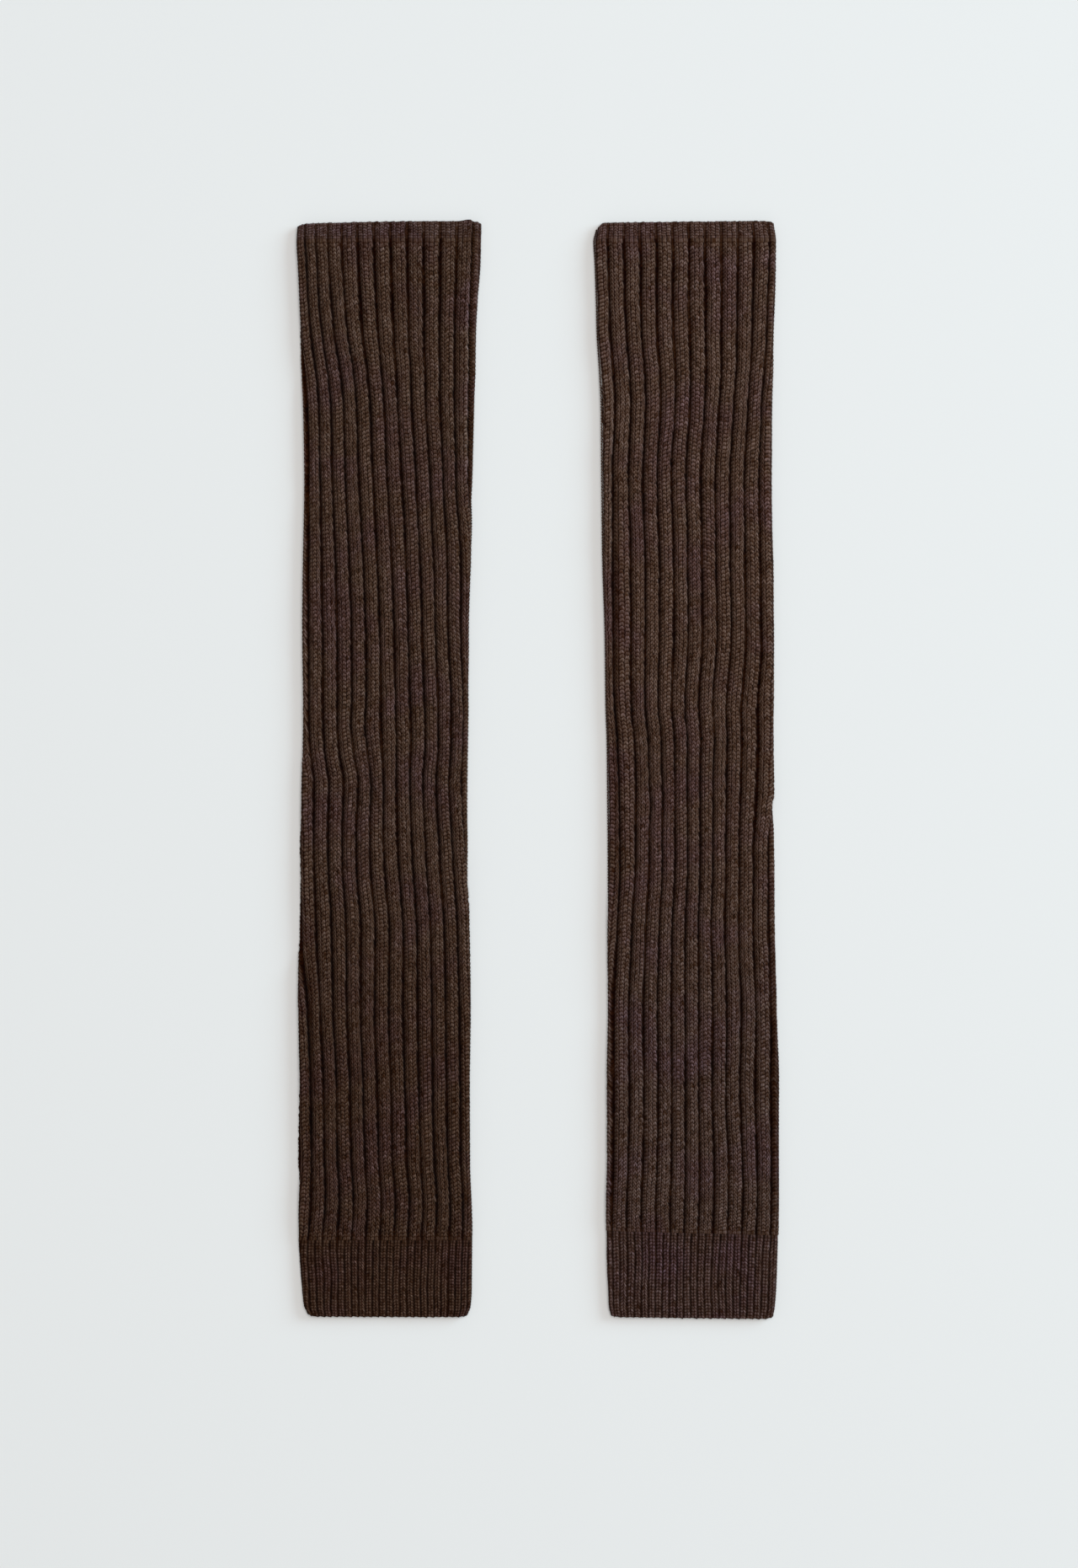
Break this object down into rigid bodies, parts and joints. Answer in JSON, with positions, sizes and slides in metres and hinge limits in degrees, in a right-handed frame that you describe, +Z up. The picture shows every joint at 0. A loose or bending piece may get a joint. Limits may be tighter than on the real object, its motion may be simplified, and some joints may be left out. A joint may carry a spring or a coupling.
{
  "type": "pair of leg warmers",
  "caption": "Pair of long ribbed knit leg warmers laid flat side by side, each a slim open tube with a short top band and a fine-rib cuff.",
  "frame": {"origin": "centre of the pair's bounding box, on the surface that it lies on", "axes": "+X to the right across the pair as it lies, +Y along the tubes towards their top bands, +Z up from the surface"},
  "size_m": [0.2728, 0.62, 0.0076],
  "materials": {
    "wide_rib_knit": "matt brown wool-blend yarn in a wide rib",
    "fine_rib_knit": "matt brown wool-blend yarn in a fine rib",
    "band_knit": "matt brown wool-blend yarn in a close, flatter rib"
  },
  "bodies": {
    "root": {"left_band": "band_knit", "left_leg": "wide_rib_knit", "left_cuff": "fine_rib_knit", "right_band": "band_knit", "right_leg": "wide_rib_knit", "right_cuff": "fine_rib_knit"}
  },
  "joints": []
}
